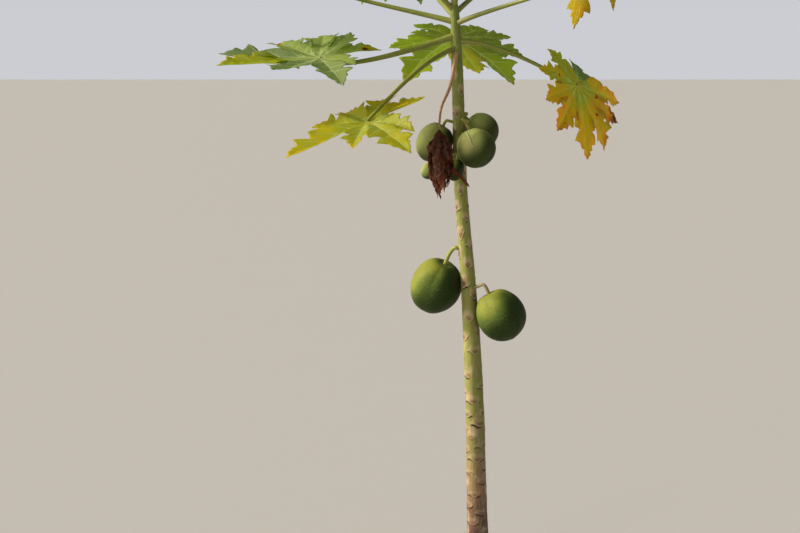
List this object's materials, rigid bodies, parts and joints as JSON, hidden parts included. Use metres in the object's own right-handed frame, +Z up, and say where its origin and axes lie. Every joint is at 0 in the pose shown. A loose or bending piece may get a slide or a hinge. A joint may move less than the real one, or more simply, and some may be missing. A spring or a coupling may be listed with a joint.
{
  "type": "papaya tree",
  "caption": "Young papaya tree: one slim leaning trunk with a crown of long-stalked lobed leaves, hanging green fruits and one dead leaf.",
  "frame": {"origin": "middle of the flat cut under the trunk, at ground level", "axes": "+Z up along the trunk; -Y towards the side that the picture shows; +X to the right as it shows it"},
  "size_m": [1.2543, 1.1661, 2.1372],
  "materials": {
    "bark": "green and buff bark with leaf scars, matt",
    "leaf_stalk": "smooth olive green, satin",
    "leaf_green": "green leaf, satin",
    "leaf_yellow_green": "yellowing leaf, satin",
    "leaf_golden": "golden old leaf, satin",
    "fruit_skin": "smooth waxy green skin",
    "dead_stalk": "withered orange-brown, matt",
    "dead_leaf": "withered dark brown, matt"
  },
  "bodies": {
    "root": {"trunk": "bark", "stalk_low_left": "leaf_stalk", "blade_low_left": "leaf_yellow_green", "stalk_low_right": "leaf_stalk", "blade_low_right": "leaf_golden", "stalk_back_low": "leaf_stalk", "blade_back_low": "leaf_green", "stalk_mid_left": "leaf_stalk", "blade_mid_left": "leaf_green", "stalk_front_right": "leaf_stalk", "blade_front_right": "leaf_golden", "stalk_high_left": "leaf_stalk", "blade_high_left": "leaf_green", "stalk_back_left": "leaf_stalk", "blade_back_left": "leaf_green", "stalk_back_right": "leaf_stalk", "blade_back_right": "leaf_green", "stalk_upper_left": "leaf_stalk", "blade_upper_left": "leaf_green", "stalk_upper_front": "leaf_stalk", "blade_upper_front": "leaf_green", "stalk_upper_back": "leaf_stalk", "blade_upper_back": "leaf_green", "stalk_upper_right": "leaf_stalk", "blade_upper_right": "leaf_green", "stalk_young_left": "leaf_stalk", "blade_young_left": "leaf_green", "stalk_young_front": "leaf_stalk", "blade_young_front": "leaf_green", "stalk_young_back": "leaf_stalk", "blade_young_back": "leaf_green", "fruit_low_left": "fruit_skin", "fruit_low_right": "fruit_skin", "fruit_high_front": "fruit_skin", "fruit_high_back": "fruit_skin", "fruit_high_left": "fruit_skin", "fruit_young_front": "fruit_skin", "fruit_young_left": "fruit_skin", "dead_stalk": "dead_stalk", "dead_blade": "dead_leaf"}
  },
  "joints": []
}
